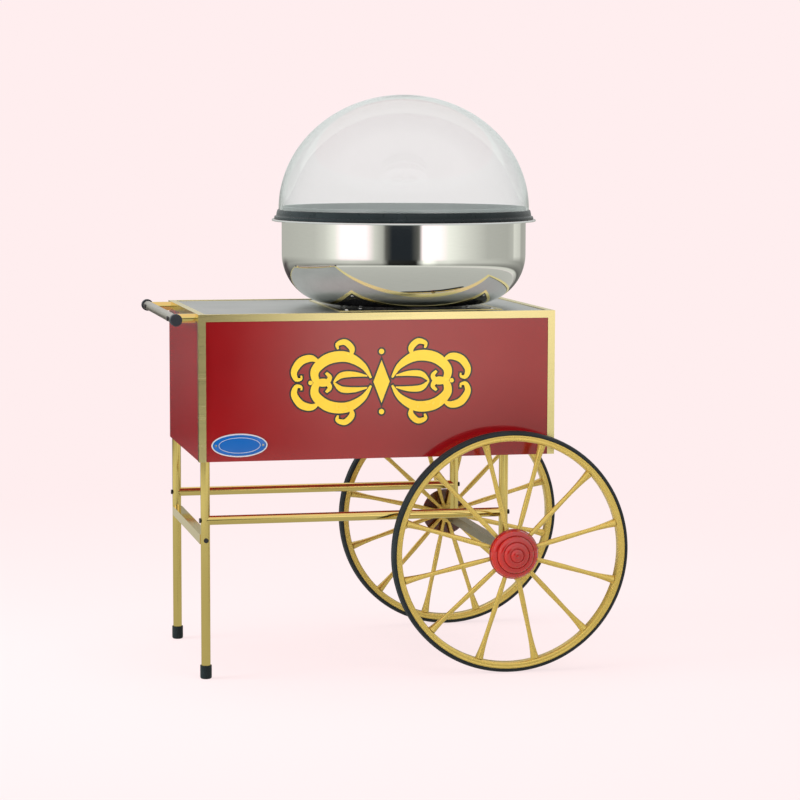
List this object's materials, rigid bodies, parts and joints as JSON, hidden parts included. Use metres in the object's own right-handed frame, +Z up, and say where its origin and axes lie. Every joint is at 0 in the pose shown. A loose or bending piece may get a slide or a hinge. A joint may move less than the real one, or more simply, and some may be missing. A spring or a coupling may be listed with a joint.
{
  "type": "cotton candy machine on a cart",
  "caption": "Cotton candy machine with a polished bowl and clear dome, let into a red two-wheeled display cart with spoked wheels, tubular legs and a push handle.",
  "frame": {"origin": "on the floor under the middle of the cart's outline in x and y", "axes": "+Z up from the floor; -Y towards the customer's side with the plain front panel; +Y towards the operator's side with the controls and door; +X from the handle towards the wheels"},
  "size_m": [0.9514, 0.688, 1.194],
  "materials": {
    "painted_red": "gloss",
    "brushed_plate": "brushed",
    "gold_trim": "satin",
    "gold_paint": "satin",
    "tyre": "matte",
    "black_rubber": "matte",
    "black_plastic": "satin",
    "steel": "satin",
    "black_steel": "satin",
    "bright_steel": "polished",
    "badge_blue": "gloss",
    "brass": "polished",
    "head_aluminium": "turned",
    "heater": "heat tinted",
    "polished_steel": "polished",
    "clear_dome": "clear"
  },
  "bodies": {
    "cart": {"axle": "steel", "axle_beam": "gold_paint", "axle_nuts": "steel", "axle_spacers": "gold_paint", "back_panel": "painted_red", "badge_plate": "badge_blue", "badge_rivets": "bright_steel", "bottom_panel": "painted_red", "brush_holder": "black_plastic", "control_plate": "brushed_plate", "corner_trims": "gold_trim", "deck_screws": "bright_steel", "door_hinges": "steel", "frame_bolts": "black_steel", "front_panel": "painted_red", "handle_bar": "bright_steel", "handle_end_caps": "black_plastic", "handle_spacers": "gold_paint", "left_cross_rail": "gold_paint", "left_panel": "painted_red", "leg_back_left": "gold_paint", "leg_back_right": "gold_paint", "leg_front_left": "gold_paint", "leg_front_right": "gold_paint", "machine_deck": "black_steel", "machine_housing": "steel", "motor": "black_steel", "motor_bracket": "steel", "power_inlet": "black_plastic", "right_panel": "painted_red", "rubber_feet": "black_rubber", "stretcher_back": "gold_paint", "stretcher_front": "gold_paint", "switch_bodies": "black_plastic", "top_plate": "brushed_plate", "top_trim": "gold_trim", "well_trim": "gold_trim"},
    "front_wheel": {"front_wheel_hub": "gold_paint", "front_wheel_hub_cap": "painted_red", "front_wheel_rim": "gold_paint", "front_wheel_spokes": "gold_paint", "front_wheel_tyre": "tyre"},
    "back_wheel": {"back_wheel_hub": "gold_paint", "back_wheel_hub_cap": "painted_red", "back_wheel_rim": "gold_paint", "back_wheel_spokes": "gold_paint", "back_wheel_tyre": "tyre"},
    "spinner": {"spinner_shaft": "steel", "slip_rings": "brass", "spinner_dish": "head_aluminium", "heater_ribbon": "heater", "spinner_cover": "head_aluminium"},
    "bowl": {"bowl": "polished_steel", "bowl_flange": "polished_steel", "bowl_ring": "black_rubber"},
    "dome": {"dome": "clear_dome"},
    "door": {"door": "painted_red", "door_knob": "bright_steel"},
    "power_rocker": {"power_rocker": "black_plastic"},
    "heat_knob": {"heat_knob": "black_plastic"}
  },
  "joints": [
    {"name": "front_wheel_spin", "type": "hinge", "parent": "cart", "child": "front_wheel", "pos_m": [0.22375, -0.292, 0.252], "axis": [0, 1, 0], "continuous": true},
    {"name": "back_wheel_spin", "type": "hinge", "parent": "cart", "child": "back_wheel", "pos_m": [0.22375, 0.292, 0.252], "axis": [0, 1, 0], "continuous": true},
    {"name": "spinner_spin", "type": "hinge", "parent": "cart", "child": "spinner", "pos_m": [0.05775, 0, 0.808], "axis": [0, 0, 1], "continuous": true},
    {"name": "bowl_lift", "type": "slide", "parent": "cart", "child": "bowl", "axis": [0, 0, 1], "range_m": [0, 0.2]},
    {"name": "dome_lift", "type": "slide", "parent": "bowl", "child": "dome", "axis": [0, 0, 1], "range_m": [0, 0.3]},
    {"name": "door_hinge", "type": "hinge", "parent": "cart", "child": "door", "pos_m": [-0.38, 0.2348, 0.598], "axis": [0, 0, 1], "range_deg": [0, 110]},
    {"name": "power_switch", "type": "hinge", "parent": "cart", "child": "power_rocker", "pos_m": [0.15075, 0.2325, 0.64], "axis": [1, 0, 0], "range_deg": [0, 16]},
    {"name": "heat_dial", "type": "hinge", "parent": "cart", "child": "heat_knob", "pos_m": [0.07075, 0.2325, 0.64], "axis": [0, 1, 0], "range_deg": [0, 270]}
  ]
}
